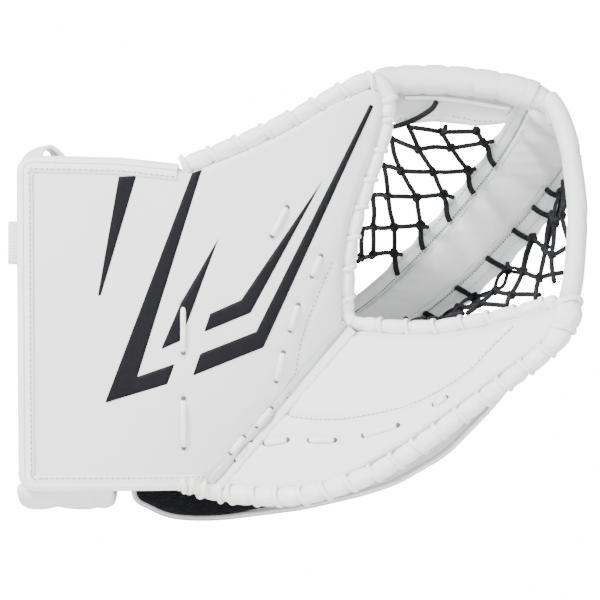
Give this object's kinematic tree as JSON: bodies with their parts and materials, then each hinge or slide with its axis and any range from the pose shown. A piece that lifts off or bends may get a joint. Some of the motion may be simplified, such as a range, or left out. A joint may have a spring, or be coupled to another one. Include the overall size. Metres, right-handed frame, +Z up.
{
  "type": "goalie catch glove",
  "caption": "White goalie catch glove with a stiff cuff and thumb board, folding palm, laced T pocket with black netting, padded rim, backhand pad and wrist straps.",
  "frame": {"origin": "middle of the wrist inside the cuff, where the hand goes in", "axes": "+X from the wrist to the pocket, +Z up to the thumb tip, +Y from the catching face to the back of the hand; -X is the way the hand leaves"},
  "size_m": [0.3631, 0.1753, 0.2914],
  "materials": {
    "white_leather": "smooth white synthetic leather with a low sheen",
    "grey_white_leather": "slightly darker white synthetic leather",
    "binding_leather": "bright white binding leather",
    "black_leather": "fine-grained black synthetic leather",
    "white_lace": "white waxed lace",
    "pocket_lace": "black braided skate lace, slightly waxed",
    "foam": "closed-cell foam",
    "board": "stiff thermoplastic board",
    "lining": "black knitted lining",
    "hook_and_loop": "black hook-and-loop tape",
    "webbing": "black woven webbing"
  },
  "bodies": {
    "thumb_side": {"cuff_binding": "binding_leather", "cuff_running_lace": "white_lace", "cuff_stripe_1": "black_leather", "cuff_stripe_2": "black_leather", "cuff_stripe_3": "black_leather", "cuff_stripe_4": "black_leather", "cuff_stripe_5": "black_leather", "cuff_thumb_board": "board", "cuff_thumb_foam": "foam", "cuff_thumb_lining": "lining", "cuff_thumb_skin": "white_leather", "thumb_back_pad": "white_leather", "thumb_edge_lace": "white_lace", "thumb_edge_roll": "binding_leather", "thumb_net": "pocket_lace", "thumb_pocket_lace": "white_lace", "thumb_pocket_roll": "binding_leather", "thumb_running_lace": "white_lace", "thumb_stall": "lining", "wrist_pad": "white_leather", "wrist_top_wall": "white_leather", "wrist_strap_anchor": "webbing", "pull_loop": "webbing", "rim_top": "white_leather", "rim_flap": "grey_white_leather"},
    "pocket_t": {"break_gusset": "grey_white_leather", "crotch_roll": "binding_leather", "heel_roll": "binding_leather", "t_padding": "foam", "t_board": "board", "t_back": "grey_white_leather", "t_thumb_strip": "grey_white_leather", "t_finger_strip": "grey_white_leather", "rim_corner": "white_leather"},
    "finger_side": {"backhand_binding": "binding_leather", "backhand_foam": "foam", "backhand_liner": "lining", "backhand_shell": "board", "backhand_skin": "white_leather", "finger_net": "pocket_lace", "hand_strap_anchor": "webbing", "index_stall": "lining", "little_stall": "lining", "middle_stall": "lining", "outer_wall": "white_leather", "palm_board": "board", "palm_bottom_lace": "white_lace", "palm_bottom_roll": "binding_leather", "palm_foam": "foam", "palm_lining": "lining", "palm_pocket_lace": "white_lace", "palm_pocket_roll": "binding_leather", "palm_running_lace": "white_lace", "palm_skin": "white_leather", "rim_side": "white_leather", "ring_stall": "lining"},
    "wrist_strap_body": {"wrist_strap": "webbing", "wrist_strap_hook": "hook_and_loop"},
    "hand_strap_body": {"hand_strap": "webbing", "hand_strap_hook": "hook_and_loop"}
  },
  "joints": [
    {"name": "pocket_fold", "type": "hinge", "parent": "thumb_side", "child": "pocket_t", "pos_m": [0.047, -0.025, -0.0546], "axis": [-0.6494, 0, -0.7604], "range_deg": [0, 35], "stiffness_Nm_per_rad": 3, "deforming": ["thumb_net"]},
    {"name": "finger_fold", "type": "hinge", "parent": "pocket_t", "child": "finger_side", "pos_m": [0.047, -0.025, -0.0546], "axis": [-0.6494, 0, -0.7604], "range_deg": [0, 35], "stiffness_Nm_per_rad": 3, "deforming": ["finger_net"]},
    {"name": "wrist_strap_hinge", "type": "hinge", "parent": "thumb_side", "child": "wrist_strap_body", "pos_m": [-0.047, 0.0298, 0.0712], "axis": [1, 0, 0], "range_deg": [0, 110]},
    {"name": "hand_strap_hinge", "type": "hinge", "parent": "finger_side", "child": "hand_strap_body", "pos_m": [0.1493, 0.02947, 0.00571], "axis": [0.6934, -0.4104, -0.5922], "range_deg": [0, 120]}
  ],
  "couplings": [
    {"joint": "finger_fold", "follows": "pocket_fold", "ratio": 1}
  ]
}
